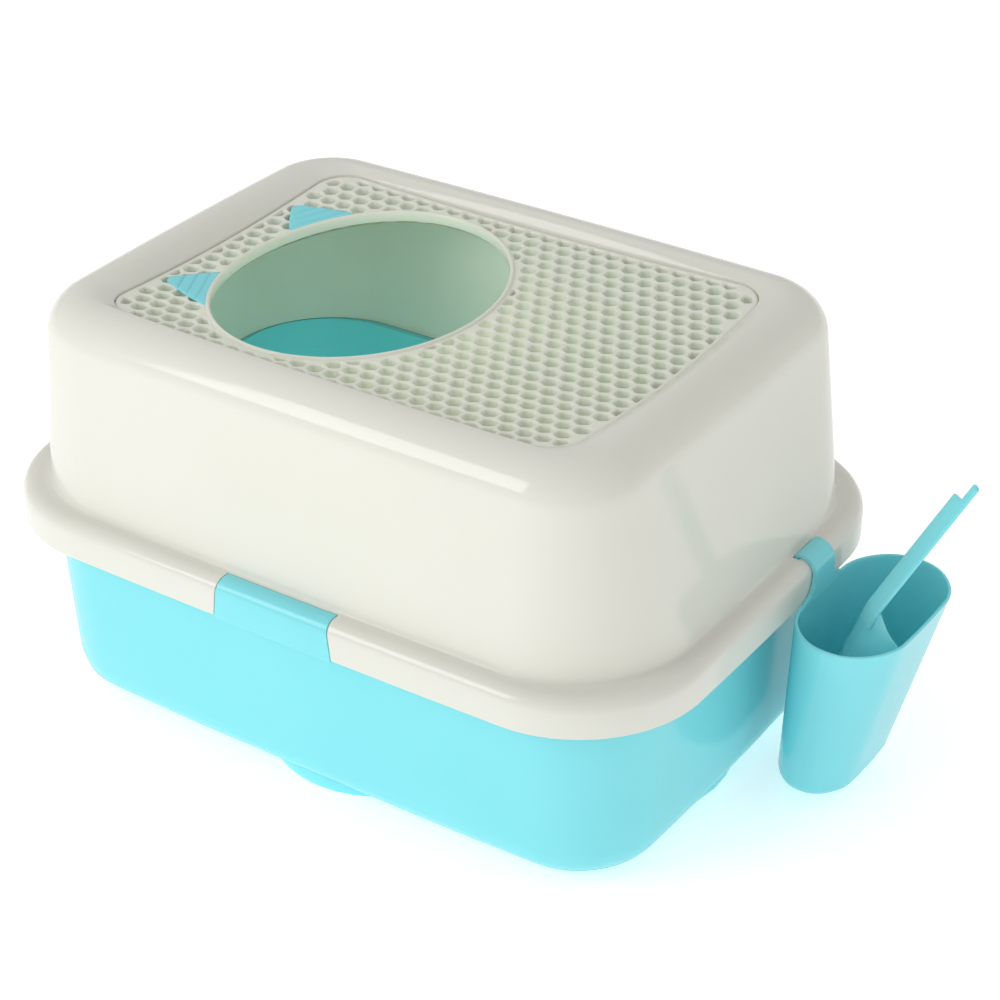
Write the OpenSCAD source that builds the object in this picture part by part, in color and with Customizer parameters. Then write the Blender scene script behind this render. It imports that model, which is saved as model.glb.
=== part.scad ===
/* [Rim] */
// Length of the box over the hood's skirt, along X
rim_len = 530; // [480:5:600]
// Width of the box over the hood's skirt, along Y
rim_wid = 378; // [344:2:420]
// Plan radius of the skirt's corners
rim_r = 88; // [84:1:96]
// How far the long and short sides bow out at their middles
side_bow = 3; // [0:0.5:5]

/* [Tub] */
// Height of the plinth lobes under the tub's floor
plinth_h = 5; // [3:0.5:8]
// Radius of each plinth lobe
lobe_r = 84; // [60:2:90]
// Distance from the foot of the tub's walls in to the plinth lobes
lobe_inset = 8; // [6:1:16]
// Height of the hood's skirt edge above the ground
skirt_z = 143; // [120:1:170]
// Wall thickness of the tub
tub_wall = 2.5; // [2:0.1:3.5]
// How far the tub's walls stand in from the skirt, on the short sides
tub_inset_x = 20; // [18:0.5:26]
// How far the tub's walls stand in from the skirt, on the long sides
tub_inset_y = 22; // [20:0.5:28]
// How far each wall leans in from the skirt down to the floor
tub_draft = 7.5; // [4:0.5:14]
// Radius of the round between the tub's walls and its floor
tub_fillet = 25; // [16:1:32]
// Height of the lip that hangs from the tub's rim
tub_lip_h = 13; // [8:0.5:14]

/* [Hood] */
// Wall thickness of the hood
hood_wall = 2.5; // [2:0.1:3.5]
// Height of the skirt, from its edge to the foot of the hood's walls
skirt_h = 26.5; // [24:0.5:32]
// Width of the shelf between the hood's walls and the outside of the skirt
skirt_w = 16; // [15.5:0.5:20]
// Radius of the round along the top of the skirt
skirt_round = 9; // [6:0.5:10]
// Height of the hood above its skirt
hood_h = 142.5; // [100:2.5:200]
// Plan radius of the hood's corners at the foot of its walls
hood_foot_r = 80; // [66:1:88]
// Plan radius of the hood's corners where its top round starts
hood_top_r = 55; // [50:1:66]
// Radius of the round between the hood's walls and its top
hood_round = 28; // [24:1:32]
// How far the hood's short walls lean in from their foot to the top round
hood_lean_x = 20; // [10:1:26]
// How far the hood's long walls lean in from their foot to the top round
hood_lean_y = 6; // [3:0.5:12]

/* [Top panel] */
// Width of the sloping border between the hood's top round and the panel, on the short sides
border_x = 18.5; // [12:0.5:26]
// Width of the sloping border between the hood's top round and the panel, on the long sides
border_y = 6.5; // [5:0.5:10]
// Plan radius of the panel's corners
panel_r = 24; // [18:1:28]
// Depth of the honeycomb
panel_t = 9; // [6:0.5:12]
// How deep the panel's face lies under the crest of the hood
panel_sink = 7; // [4:0.5:10]
// Width of the plain border round the honeycomb
panel_border = 4; // [3:0.5:10]
// Distance from one honeycomb cell to the next, along X
cell_pitch = 13.2; // [10:0.2:20]
// Thickness of the honeycomb's walls
cell_rib = 3.6; // [2.4:0.2:5]
// Width of the ledge in the hood that carries the panel
ledge_w = 6; // [4:0.5:8]
// Thickness of the ledge
ledge_t = 3; // [2:0.5:5]

/* [Entry hole] */
// Width of honeycomb between the panel's -X end and the rim of the hole
hole_end = 25.5; // [18:0.5:36]
// Width of honeycomb between the panel's long sides and the rim of the hole
hole_side = 14.5; // [12:0.5:24]
// Length of the oval hole, along X
hole_len = 182; // [160:2:190]
// Width of the smooth rim round the hole
hole_rim_w = 5; // [3:0.5:8]
// Height of the rim above the honeycomb
hole_rim_up = 2; // [1:0.5:4]
// How far the rim reaches under the honeycomb
hole_rim_down = 7; // [4:0.5:12]

/* [Ears] */
// Distance from the box's middle line to the middle of each ear's foot
ear_y = 67; // [55:1:72]
// Length of an ear's foot, along the rim of the hole
ear_base = 50; // [40:1:54]
// Height of an ear, from its foot to its tip
ear_h = 34; // [26:1:36]
// How far the ears are turned outward, in degrees
ear_turn = 27; // [15:1:40]
// Radius of an ear's rounded corners
ear_r = 5; // [3:0.5:7]
// Thickness of an ear above the honeycomb
ear_up = 1.2; // [1.2:0.2:3]
// Number of grooves across an ear
ear_grooves = 3; // [2:1:4]
// Depth and width of the grooves
ear_groove = 0.8; // [0.4:0.1:1]

/* [Side clips] */
// Width of a clip at its top edge
clip_top_w = 88; // [76:2:110]
// Width of a clip at its lower edge
clip_foot_w = 94; // [90:2:124]
// How far a clip reaches below the skirt's edge
clip_drop = 2; // [1:0.5:4]
// Thickness of a clip's shell
clip_t = 2; // [1.6:0.1:2.2]
// Clear gap between a clip and the notch that it fills
clip_gap = 0.6; // [0.4:0.1:1.2]
// Radius of a clip's hinge pin
pin_r = 2; // [1.5:0.1:2.4]
// Running clearance between a clip's arm and its pin
pin_clear = 0.05; // [0.02:0.01:0.1]
// Thickness of the boss round a hinge pin
boss_wall = 2.4; // [2:0.1:3]
// Thickness of each hinge arm and lug
hinge_t = 6; // [4:0.5:8]

/* [Bucket] */
// Distance from the box's middle line to the middle of the bucket
bucket_y = 57; // [40:1:70]
// Length of the bucket's mouth, along X
mouth_len = 78; // [77:1:95]
// Width of the bucket's mouth, along Y
mouth_wid = 134; // [126:2:150]
// Length of the bucket's floor, along X
floor_len = 55; // [54:1:66]
// Width of the bucket's floor, along Y
floor_wid = 102; // [96:2:120]
// Height of the bucket
bucket_h = 132; // [120:2:138]
// Plan radius of the mouth's corners
mouth_r = 36; // [28:1:38]
// Plan radius of the floor's corners
floor_r = 25; // [20:1:28]
// How far the bucket's sides bow out at their middles
bucket_bow = 3; // [1:0.5:4]
// Radius of the round between the bucket's walls and its floor
bucket_round = 8; // [4:0.5:12]
// How far the bucket's mouth hangs under the foot of the hood's walls
strap_drop = 25; // [24:0.5:34]
// Radius of the fillets between the strap and the mouth
strap_flare = 13; // [6:1:16]
// How far the foot of the bucket hangs in towards the tub
bucket_lean = 9; // [6:0.5:12]
// Wall thickness of the bucket
bucket_wall = 2.2; // [1.8:0.1:3]
// Width of the hook strap
strap_w = 26; // [18:1:34]
// Thickness of the hook strap
strap_t = 2.8; // [2:0.1:3.4]
// Length of the tongue that goes down into the hood's slot
tongue_h = 9; // [6:0.5:10]

/* [Scoop] */
// Length of the scoop's blade
blade_len = 104; // [90:2:120]
// Radius of the blade's hollow
blade_r = 26; // [22:0.5:26.5]
// Angle that the blade's hollow spans, in degrees
blade_span = 120; // [100:2:122]
// Thickness of the blade
blade_t = 2.2; // [1.8:0.1:3]
// How far the blade's shoulders slope down from the handle
shoulder_h = 14; // [6:1:20]
// Angle from one sifting slot to the next
sift_turn = 20; // [18:1:24]
// Distance from the blade's edge to the slots
sift_foot = 12; // [8:1:20]
// Width of the sifting slots
sift_w = 5; // [3:0.5:7]
// Length of the sifting slots
sift_len = 50; // [40:2:66]
// Length of the handle
handle_len = 108; // [80:2:140]
// Width of the handle
handle_w = 15; // [10:0.5:20]
// Thickness of the handle
handle_t = 3.2; // [2.4:0.2:5]
// How far the handle laps over the back of the blade
handle_lap = 12; // [8:1:20]
// Length of the narrow tip of the handle
tip_len = 14; // [8:1:20]
// Width of the narrow tip
tip_w = 6; // [4:0.5:9]
// How far the handle is bent back from the blade, in degrees
handle_bend = 11; // [0:1:20]
// How far the scoop leans over in the bucket, in degrees
scoop_lean = 21; // [16:0.5:22]
// The way that the scoop leans, in degrees from +X
scoop_way = 29; // [27:1:34]
// How far the scoop is turned about its own axis, in degrees
scoop_turn = 200; // [196:1:205]
// Distance from the bucket's middle to the foot of the blade, towards the box
scoop_foot_x = 9.5; // [9:0.5:11]
// Distance from the inside of the bucket's -Y wall to the foot of the blade
scoop_foot_y = 16; // [15.5:0.5:22]
// Height of the foot of the blade above the inside of the bucket's floor
scoop_foot_z = 44; // [40:0.5:60]

/* [Fits] */
// Clear gap where the hood rests on the tub, and the panel on the hood
seat_gap = 0.3; // [0.2:0.05:0.5]
// Clear gap at each side of parts that slide into one another
side_gap = 0.8; // [0.5:0.1:1.5]

/* [Hidden] */

hood_color = "#f1efe4";
panel_color = "#e9eddc";
aqua_color = "#7fe3e8";
metal_color = "#c9ccd0";

// Points round a quarter turn and along a side of each plan outline
corner_steps = 8;
side_steps = 4;
// Steps round a quarter turn in the sections, and their angles
round_steps = 5;
turns = [for (i = [0 : round_steps]) 90 * i / round_steps];
// Small overlap that makes joined solids of one node fuse
fuse = 0.5;

floor_z = plinth_h;
foot_z = skirt_z + skirt_h;
crest_z = foot_z + hood_h;
shelf_under_z = foot_z - hood_wall;
rim_top_z = shelf_under_z - seat_gap;
panel_z = crest_z - panel_sink;

tub_len = rim_len - 2 * tub_inset_x;
tub_wid = rim_wid - 2 * tub_inset_y;
tub_r = rim_r - tub_inset_x;
// The tub's lip stands in from the skirt, and its top edge is sloped to clear the skirt's round
lip_inset = hood_wall + 2 * side_gap;
lip_chamfer = skirt_round - hood_wall - 2 * side_gap;
lip_under = lip_chamfer + tub_wall * (sqrt(2) - 1);

hood_foot_len = rim_len - 2 * skirt_w;
hood_foot_wid = rim_wid - 2 * skirt_w;
hood_top_len = hood_foot_len - 2 * hood_lean_x;
hood_top_wid = hood_foot_wid - 2 * hood_lean_y;
// The opening in the hood's top, the panel that lies in it, and the oval hole in the panel
open_len = hood_top_len - 2 * (hood_round + border_x);
open_wid = hood_top_wid - 2 * (hood_round + border_y);
open_r = panel_r + side_gap;
panel_len = open_len - 2 * side_gap;
panel_wid = open_wid - 2 * side_gap;
hole_wid = panel_wid - 2 * (hole_side + hole_rim_w);
hole_x = hole_end + hole_rim_w + (hole_len - panel_len) / 2;

// One rounded rectangle as a closed run of points, its sides bowed a little
function corner_points(l, w, r, q) =
    let (cx = (q == 0 || q == 3) ? l / 2 - r : r - l / 2, cy = q < 2 ? w / 2 - r : r - w / 2)
    [for (i = [0 : corner_steps]) let (a = 90 * (q + i / corner_steps)) [cx + r * cos(a), cy + r * sin(a)]];
function side_points(p, q) = [for (i = [1 : side_steps - 1]) p + (q - p) * i / side_steps];
function bowed(p, l, w, bow) = [
    p[0] * (1 - 2 * bow / l * pow(2 * p[1] / w, 2)),
    p[1] * (1 - 2 * bow / w * pow(2 * p[0] / l, 2))];
function outline(l, w, r, bow = side_bow) =
    let (c = [for (q = [0 : 3]) corner_points(l, w, r, q)])
    [for (q = [0 : 3]) each concat(
        [for (p = c[q]) bowed(p, l, w, bow)],
        [for (p = side_points(c[q][corner_steps], c[(q + 1) % 4][0])) bowed(p, l, w, bow)])];
function ring(l, w, r, z, x = 0, y = 0, bow = side_bow) =
    [for (p = outline(l, w, r, bow)) [p[0] + x, p[1] + y, z]];

// A closed skin over a stack of rings: its ends are capped, or the last ring meets the first
module skin(rings, looped = false) {
    m = len(rings[0]);
    n = len(rings);
    points = [for (g = rings) each g];
    sides = [for (j = [0 : looped ? n - 1 : n - 2]) for (i = [0 : m - 1])
        let (k = (i + 1) % m, a = j * m, b = (j + 1) % n * m)
        each [[a + i, b + i, a + k], [a + k, b + i, b + k]]];
    ends = looped ? [] : [[for (i = [0 : m - 1]) i], [for (i = [m - 1 : -1 : 0]) (n - 1) * m + i]];
    polyhedron(points = points, faces = concat(sides, ends), convexity = 8);
}

// The plan of the rim at height z, moved in by inset
function rim_ring(z, inset) = ring(rim_len - 2 * inset, rim_wid - 2 * inset, rim_r - inset, z);

// The tub's wall at height z, moved in by inset
function tub_ring(z, inset) =
    let (lean = tub_draft * (skirt_z - z) / (skirt_z - floor_z))
    ring(tub_len - 2 * (lean + inset), tub_wid - 2 * (lean + inset), tub_r - lean - inset, z);

module plinth_outline(in) {
    for (s = [-1, 1]) {
        translate([s * (tub_len / 2 - tub_draft - lobe_inset - lobe_r), 0]) circle(r = lobe_r - in, $fn = 96);
        translate([0, s * (tub_wid / 2 - tub_draft - lobe_inset - lobe_r)]) circle(r = lobe_r - in, $fn = 96);
    }
    square([tub_len - 2 * (tub_draft + lobe_inset + lobe_r), lobe_r - 2 * in], center = true);
}

module tub_shell() {
    inner_r = tub_fillet - tub_wall;
    skin(concat(
        [for (a = turns) tub_ring(floor_z + tub_fillet * (1 - cos(a)), tub_fillet * (1 - sin(a)))],
        [tub_ring(rim_top_z - tub_wall, 0)],
        [rim_ring(rim_top_z - tub_wall, lip_inset + lip_under)],
        [rim_ring(rim_top_z - lip_under, lip_inset + tub_wall)],
        [rim_ring(rim_top_z - tub_lip_h, lip_inset + tub_wall)],
        [rim_ring(rim_top_z - tub_lip_h, lip_inset)],
        [rim_ring(rim_top_z - lip_chamfer, lip_inset)],
        [rim_ring(rim_top_z, lip_inset + lip_chamfer)],
        [tub_ring(rim_top_z, tub_wall)],
        [for (i = [round_steps : -1 : 0]) let (a = turns[i])
            tub_ring(floor_z + tub_wall + inner_r * (1 - cos(a)), tub_wall + inner_r * (1 - sin(a)))]));
}

// Hinge line of a side clip, seen on the front side
hinge_boss_r = pin_r + boss_wall;
hinge_y = -(rim_wid / 2 - lip_inset - hinge_boss_r);
hinge_z = skirt_z - clip_drop + hinge_boss_r + clip_gap;
lug_x = clip_top_w / 2 - 3 * hinge_t;
arm_x = lug_x + hinge_t + side_gap;
pin_len = 2 * (arm_x + hinge_t);

module across(x, w) {
    translate([x - w / 2, 0, 0]) rotate([90, 0, 90]) linear_extrude(w) children();
}

module clip_lugs() {
    for (s = [-1, 1]) difference() {
        across(s * lug_x, hinge_t) {
            translate([hinge_y, hinge_z]) circle(r = hinge_boss_r, $fn = 48);
            translate([hinge_y, hinge_z - hinge_boss_r])
                square([-hinge_y - tub_wid / 2 + tub_wall / 2, 2 * hinge_boss_r]);
        }
        across(s * lug_x, 2 * hinge_t) translate([hinge_y, hinge_z]) circle(r = pin_r, $fn = 48);
    }
}

// The slot that the bucket's tongue goes through, and the room under it
slot_x = rim_len / 2 - skirt_round - strap_t;
module hook_room(z, h) {
    translate([slot_x - strap_t / 2 - side_gap, bucket_y - strap_w / 2 - side_gap, z])
        cube([strap_t + 2 * side_gap, strap_w + 2 * side_gap, h]);
}

module tub() {
    color(aqua_color) difference() {
        union() {
            difference() {
                union() {
                    tub_shell();
                    linear_extrude(floor_z + tub_wall) plinth_outline(0);
                }
                translate([0, 0, tub_wall]) linear_extrude(floor_z + tub_wall) plinth_outline(tub_wall);
            }
            clip_lugs();
            rotate(180) clip_lugs();
        }
        hook_room(rim_top_z - tub_lip_h / 2, tub_lip_h);
    }
}

// The hood's wall at a share t of the way up to its top round, moved in by inset
function hood_ring(t, z, inset) = ring(
    hood_foot_len - 2 * (hood_lean_x * t + inset), hood_foot_wid - 2 * (hood_lean_y * t + inset),
    hood_foot_r + (hood_top_r - hood_foot_r) * t - inset, z);

module hood_shell() {
    skirt_r = skirt_round - hood_wall;
    inner_r = hood_round - hood_wall;
    ledge_len = open_len - 2 * ledge_w;
    ledge_wid = open_wid - 2 * ledge_w;
    ledge_z = panel_z - panel_t - seat_gap;
    well_len = open_len + 2 * hood_wall;
    well_wid = open_wid + 2 * hood_wall;
    edge_z = panel_z + hole_rim_up / 2;
    skin(concat(
        [rim_ring(skirt_z, hood_wall), rim_ring(skirt_z, 0)],
        [for (a = turns) rim_ring(foot_z - skirt_round * (1 - sin(a)), skirt_round * (1 - cos(a)))],
        [hood_ring(0, foot_z, 0)],
        [for (a = turns) hood_ring(1, crest_z - hood_round * (1 - sin(a)), hood_round * (1 - cos(a)))],
        [ring(open_len, open_wid, open_r, edge_z)],
        [ring(open_len, open_wid, open_r, ledge_z)],
        [ring(ledge_len, ledge_wid, open_r - ledge_w, ledge_z)],
        [ring(ledge_len, ledge_wid, open_r - ledge_w, ledge_z - ledge_t)],
        [ring(well_len, well_wid, open_r + hood_wall, ledge_z - ledge_t)],
        [ring(well_len, well_wid, open_r + hood_wall, edge_z - hood_wall)],
        [for (i = [round_steps : -1 : 0]) let (a = turns[i])
            hood_ring(1, crest_z - hood_wall - inner_r * (1 - sin(a)), hood_wall + inner_r * (1 - cos(a)))],
        [hood_ring(0, shelf_under_z, hood_wall)],
        [for (i = [round_steps : -1 : 0]) let (a = turns[i])
            rim_ring(shelf_under_z - skirt_r * (1 - sin(a)), hood_wall + skirt_r * (1 - cos(a)))]), true);
}

// The trapezoid that a side clip fills in the skirt, seen from the front
module notch(gap, depth) {
    half_top = clip_top_w / 2 + gap;
    half_foot = clip_foot_w / 2 + gap;
    translate([0, -rim_wid / 2 + depth, 0]) rotate([90, 0, 0]) linear_extrude(2 * depth)
        polygon([[-half_foot, skirt_z - 2 * clip_drop], [half_foot, skirt_z - 2 * clip_drop],
            [half_foot, skirt_z], [half_top, foot_z + gap / 2], [-half_top, foot_z + gap / 2],
            [-half_foot, skirt_z]]);
}

module hood() {
    color(hood_color) difference() {
        hood_shell();
        for (a = [0, 180]) rotate(a) intersection() {
            notch(clip_gap, skirt_w);
            translate([-rim_len / 2, -rim_wid / 2 - skirt_w, 0])
                cube([rim_len, 2 * skirt_w, foot_z + clip_gap]);
        }
        hook_room(shelf_under_z - hood_wall, 3 * hood_wall);
    }
}

module oval(l, w) {
    scale([1, w / l]) circle(d = l, $fn = 96);
}

// The ear's outline: its foot reaches under the rim of the hole and its tip points to -X
module ear_outline() {
    corners = [[ear_r, ear_base / 2 - ear_r], [ear_r - ear_h, 0], [ear_r, ear_r - ear_base / 2]];
    tilt = atan2(ear_base / 2 - ear_r, ear_h);
    starts = [0, 90 + tilt, 180 + tilt + 90 - 2 * tilt];
    polygon([for (k = [0 : 2]) for (i = [0 : 2 * round_steps])
        let (a = starts[k] + i / 2 / round_steps * (k == 1 ? 180 - 2 * tilt : 90 + tilt))
        corners[k] + ear_r * [cos(a), sin(a)]]);
}

module place_ear(side) {
    rim_x = hole_len / 2 + hole_rim_w;
    rim_y = hole_wid / 2 + hole_rim_w;
    translate([hole_x - rim_x * sqrt(1 - pow(ear_y / rim_y, 2)), side * ear_y, 0]) rotate(-side * ear_turn)
        children();
}

// Whether a cell at x, y lies whole between the panel's border and the rim of the hole
function is_cell(x, y, reach) =
    let (corner = [abs(x) - panel_len / 2 + panel_r, abs(y) - panel_wid / 2 + panel_r],
        keep_off = hole_rim_w + reach)
    abs(x) < panel_len / 2 - panel_border - reach - side_bow * pow(2 * y / panel_wid, 2)
    && (corner[0] < 0 || corner[1] < 0 || norm(corner) < panel_r - panel_border)
    && norm([(x - hole_x) / (hole_len / 2 + keep_off), y / (hole_wid / 2 + keep_off)]) > 1;

module honeycomb() {
    row = cell_pitch * sqrt(3) / 2;
    reach = (cell_pitch - cell_rib) / sqrt(3);
    rows = floor((panel_wid / 2 - panel_border - reach - side_bow) / row);
    along = floor(panel_len / 2 / cell_pitch) + 1;
    for (j = [-rows : rows]) for (i = [-along : along]) {
        x = (i + (j % 2 == 0 ? 0 : 0.5)) * cell_pitch;
        y = j * row;
        if (is_cell(x, y, reach)) translate([x, y]) rotate(30) circle(r = reach, $fn = 6);
    }
}

module top_panel() {
    color(panel_color) {
        translate([0, 0, panel_z - panel_t]) linear_extrude(panel_t) difference() {
            polygon(outline(panel_len, panel_wid, panel_r));
            translate([hole_x, 0]) oval(hole_len + hole_rim_w, hole_wid + hole_rim_w);
            honeycomb();
        }
        translate([hole_x, 0, panel_z - hole_rim_down])
            linear_extrude(hole_rim_down + hole_rim_up) difference() {
                oval(hole_len + 2 * hole_rim_w, hole_wid + 2 * hole_rim_w);
                oval(hole_len, hole_wid);
            }
    }
}

module ear(side) {
    color(aqua_color) difference() {
        place_ear(side) difference() {
            translate([0, 0, panel_z]) linear_extrude(ear_up) ear_outline();
            for (i = [1 : ear_grooves])
                translate([-i * ear_h / (ear_grooves + 1), -ear_base / 2, panel_z + ear_up - ear_groove])
                cube([ear_groove, ear_base, ear_up]);
        }
        translate([hole_x, 0, panel_z - fuse]) linear_extrude(ear_up + 2 * fuse)
            oval(hole_len + 2 * hole_rim_w, hole_wid + 2 * hole_rim_w);
    }
}

// The skirt's section seen along X, moved in by inset, down to the clip's lower edge
module skirt_section(inset) {
    r = skirt_round - inset;
    y = -rim_wid / 2 + inset;
    z = foot_z - inset;
    low = skirt_z - clip_drop - inset;
    back = inset - clip_gap - hood_foot_wid / 2;
    polygon(concat([[back, low], [y, low]],
        [for (i = [0 : 2 * round_steps]) let (a = 180 - 90 * i / 2 / round_steps)
            [y + r + r * cos(a), z - r + r * sin(a)]],
        [[back, z]]));
}

module clip() {
    depth = skirt_w + clip_gap;
    color(aqua_color) difference() {
        union() {
            intersection() {
                across(0, 2 * clip_foot_w) difference() {
                    skirt_section(0);
                    skirt_section(clip_t);
                }
                notch(0, depth);
            }
            for (s = [-1, 1]) across(s * arm_x, hinge_t) {
                translate([hinge_y, hinge_z]) circle(r = hinge_boss_r, $fn = 48);
                translate([clip_t / 2 - rim_wid / 2, hinge_z - hinge_boss_r])
                    square([hinge_y - clip_t / 2 + rim_wid / 2, 2 * hinge_boss_r]);
            }
        }
        across(0, 2 * clip_foot_w) translate([hinge_y, hinge_z]) circle(r = pin_r + pin_clear, $fn = 48);
    }
}

module clip_pin() {
    color(metal_color) across(0, pin_len) translate([hinge_y, hinge_z]) circle(r = pin_r, $fn = 48);
}

// The bucket's plan at a share t of the way up its walls, moved in by inset
strap_x = rim_len / 2 + seat_gap;
mouth_z = foot_z - strap_drop;
function bucket_length(t) = floor_len + (mouth_len - floor_len) * t;
function bucket_width(t) = floor_wid + (mouth_wid - floor_wid) * t;
function bucket_x(t) = strap_x - bucket_lean * (1 - t) + bucket_length(t) / 2;
function bucket_ring(t, z, inset) = ring(
    bucket_length(t) - 2 * inset, bucket_width(t) - 2 * inset,
    floor_r + (mouth_r - floor_r) * t - inset, z, bucket_x(t), bucket_y, bucket_bow);

module bucket_cup() {
    low = mouth_z - bucket_h;
    inner_r = bucket_round - bucket_wall;
    skin(concat(
        [for (a = turns) bucket_ring(0, low + bucket_round * (1 - cos(a)), bucket_round * (1 - sin(a)))],
        [bucket_ring(1, mouth_z, 0), bucket_ring(1, mouth_z, bucket_wall)],
        [for (i = [round_steps : -1 : 0]) let (a = turns[i], inset = bucket_wall + inner_r * (1 - sin(a)))
            bucket_ring(0, low + bucket_wall + inner_r * (1 - cos(a)), inset)]));
}

module strap() {
    r = skirt_round + seat_gap;
    cx = rim_len / 2 - skirt_round;
    cz = foot_z - skirt_round;
    top = foot_z + seat_gap;
    translate([0, bucket_y + strap_w / 2, 0]) rotate([90, 0, 0]) linear_extrude(strap_w) {
        translate([strap_x, mouth_z - bucket_wall]) square([strap_t, cz - mouth_z + bucket_wall]);
        intersection() {
            translate([cx, cz]) difference() {
                circle(r = r + strap_t, $fn = 96);
                circle(r = r, $fn = 96);
            }
            translate([cx, cz]) square(2 * r);
        }
        translate([slot_x, top]) square([cx - slot_x, strap_t]);
        translate([slot_x - strap_t / 2, top + strap_t - tongue_h]) square([strap_t, tongue_h]);
    }
    flare_y = strap_w / 2 + strap_flare;
    translate([strap_x, bucket_y, mouth_z]) rotate([90, 0, 90]) linear_extrude(bucket_wall) difference() {
        translate([-flare_y, -bucket_wall]) square([2 * flare_y, strap_flare + bucket_wall]);
        for (s = [-1, 1]) translate([s * flare_y, strap_flare]) circle(r = strap_flare, $fn = 96);
    }
}

module bucket() {
    color(aqua_color) union() {
        bucket_cup();
        strap();
    }
}

// The scoop stands on its own axes: blade down, handle up, the blade's rounded back towards +X
module blade() {
    half_w = blade_r + blade_t;
    translate([-half_w, 0, 0]) difference() {
        intersection() {
            rotate(-blade_span / 2) translate([0, 0, -blade_len]) rotate_extrude(angle = blade_span, $fn = 96)
                translate([blade_r, 0]) square([blade_t, blade_len]);
            rotate([90, 0, 90]) linear_extrude(2 * half_w) polygon([
                [-half_w, -blade_len], [half_w, -blade_len], [half_w, -shoulder_h],
                [handle_w / 2 + fuse, 0], [-handle_w / 2 - fuse, 0], [-half_w, -shoulder_h]]);
        }
        for (i = [-2 : 2]) rotate(i * sift_turn)
            translate([blade_r / 2, -sift_w / 2, sift_foot - blade_len]) cube([blade_r, sift_w, sift_len]);
    }
}

// The handle laps over the blade's rounded back, sunk in just enough to meet it over its whole width
module handle() {
    back_r = blade_r + blade_t;
    sink = back_r - sqrt(pow(back_r, 2) - pow(handle_w / 2, 2)) + fuse;
    face = handle_t - sink;
    end = handle_len * [-sin(handle_bend), cos(handle_bend)];
    difference() {
        translate([0, handle_w / 2, 0]) rotate([90, 0, 0]) linear_extrude(handle_w)
            polygon([[-sink, -handle_lap], [face, -handle_lap], [face, 0], [face, 0] + end, [-sink, 0] + end,
                [-sink, 0]]);
        rotate([0, -handle_bend, 0]) translate([-handle_w, -handle_w - tip_w, handle_len - tip_len])
            cube([2 * handle_w, 3 / 2 * handle_w, 2 * tip_len]);
    }
}

// The foot of the blade takes its place from the bucket's walls and floor
module scoop() {
    z = bucket_wall + scoop_foot_z;
    t = (z - bucket_round) / (bucket_h - bucket_round);
    x = bucket_x(t) - scoop_foot_x;
    y = bucket_y - bucket_width(t) / 2 + bucket_wall + scoop_foot_y;
    color(aqua_color) translate([x, y, mouth_z - bucket_h + z])
        rotate([0, scoop_lean, scoop_way]) rotate(scoop_turn) translate([0, 0, blade_len]) {
            blade();
            handle();
        }
}

tub();
hood();
top_panel();
ear(-1);  // ear_front
ear(1);  // ear_back
clip();  // clip_front
rotate(180) clip();  // clip_back
clip_pin();  // clip_pin_front
rotate(180) clip_pin();  // clip_pin_back
bucket();
scoop();
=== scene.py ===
import bmesh
import bpy
import numpy as np
from mathutils import Matrix, Vector


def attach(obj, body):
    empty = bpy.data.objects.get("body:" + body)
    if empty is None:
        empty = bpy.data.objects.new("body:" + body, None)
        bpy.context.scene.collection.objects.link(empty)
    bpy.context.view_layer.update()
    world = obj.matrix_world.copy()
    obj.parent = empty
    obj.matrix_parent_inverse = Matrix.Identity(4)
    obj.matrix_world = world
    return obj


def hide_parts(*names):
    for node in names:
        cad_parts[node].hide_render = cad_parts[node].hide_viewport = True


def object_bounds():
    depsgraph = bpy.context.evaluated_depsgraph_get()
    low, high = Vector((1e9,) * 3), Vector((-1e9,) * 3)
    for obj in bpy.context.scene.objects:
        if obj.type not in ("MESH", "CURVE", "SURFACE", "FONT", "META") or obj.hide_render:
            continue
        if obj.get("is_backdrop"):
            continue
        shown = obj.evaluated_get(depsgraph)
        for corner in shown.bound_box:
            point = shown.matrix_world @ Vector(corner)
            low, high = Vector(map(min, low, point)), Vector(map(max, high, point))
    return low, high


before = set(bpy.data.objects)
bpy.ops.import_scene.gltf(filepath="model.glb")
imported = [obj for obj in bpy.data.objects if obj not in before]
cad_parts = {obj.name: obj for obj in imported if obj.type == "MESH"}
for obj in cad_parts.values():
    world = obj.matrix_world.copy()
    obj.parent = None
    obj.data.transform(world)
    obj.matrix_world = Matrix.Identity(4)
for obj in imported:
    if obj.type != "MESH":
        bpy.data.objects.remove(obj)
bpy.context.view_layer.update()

# --- Tub -------------------------------------------------------------------------------------
# The lower pan is one injection moulding of aqua polypropylene, 2.5 mm thick. Its walls lean out
# to a rim with a turned-down lip, and it stands on a plinth of four lobes, hollow from inside.

MM = 0.001
LENGTH, WIDTH, CORNER = 530.0, 378.0, 88.0  # the box over its skirt, and the skirt's corner radius
WALL, FLOOR_Z, FILLET = 2.5, 5.0, 25.0
SKIRT_Z, LEAN = 143.0, 7.5  # height of the skirt's lower edge, and how far a wall leans out up to it


def linear(code):
    """Scene-linear colour of an sRGB hex code."""
    c = np.array([int(code[k:k + 2], 16) for k in (1, 3, 5)]) / 255
    return (*np.where(c <= 0.04045, c / 12.92, ((c + 0.055) / 1.055) ** 2.4), 1.0)


def add(tree, kind, inputs=(), **settings):
    """Adds a node with these settings. An input is a constant or the output of another node."""
    node = tree.nodes.new("ShaderNode" + kind)
    for key, value in settings.items():
        setattr(node, key, value)
    for key, value in dict(inputs).items():
        if isinstance(value, bpy.types.NodeSocket):
            tree.links.new(value, node.inputs[key])
        else:
            node.inputs[key].default_value = value
    return node


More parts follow.
